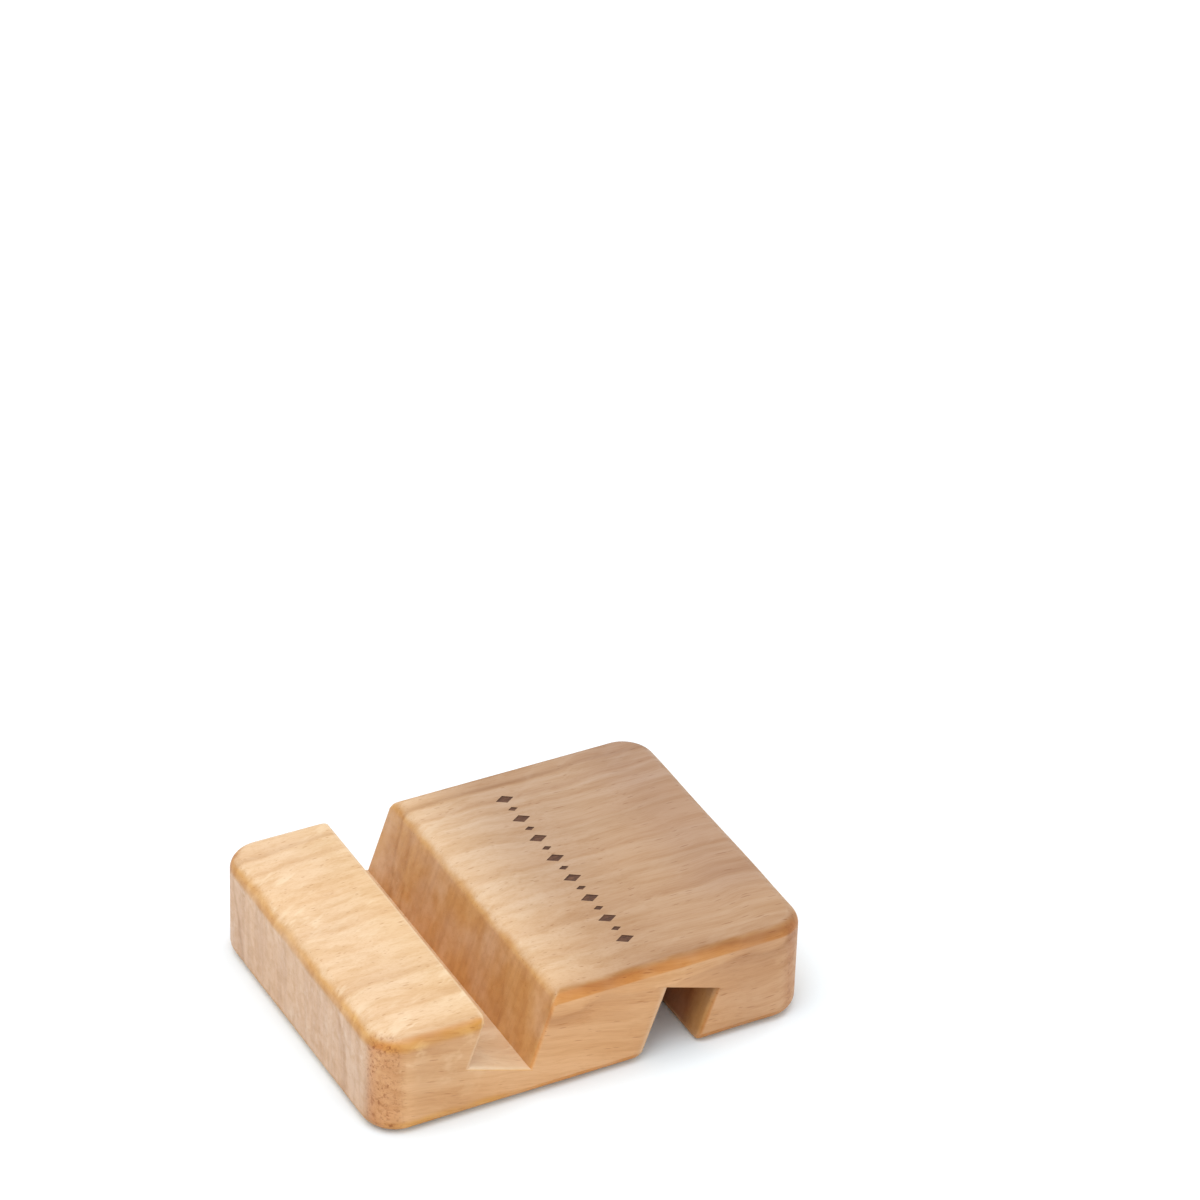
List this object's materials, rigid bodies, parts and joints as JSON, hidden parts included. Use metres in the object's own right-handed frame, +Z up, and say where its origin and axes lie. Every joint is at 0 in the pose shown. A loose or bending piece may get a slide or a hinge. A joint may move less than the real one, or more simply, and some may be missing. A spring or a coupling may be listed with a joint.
{
  "type": "phone stand",
  "caption": "Wooden block phone stand with a slanted slot in its top and a narrower slanted slot in its underside; it turns over for another viewing angle.",
  "frame": {"origin": "middle of the underside, on the surface that the stand rests on", "axes": "+Z up; +Y from the front lip towards the rear end, the way a phone leans; +X along the slots, to the right as the phone's screen is looked at"},
  "size_m": [0.06, 0.0786, 0.019],
  "materials": {
    "wood": "fine-sanded light hardwood with a thin satin oil; long grain along the length, end grain on the two ends"
  },
  "bodies": {
    "root": {"stand_block": "wood"}
  },
  "joints": []
}
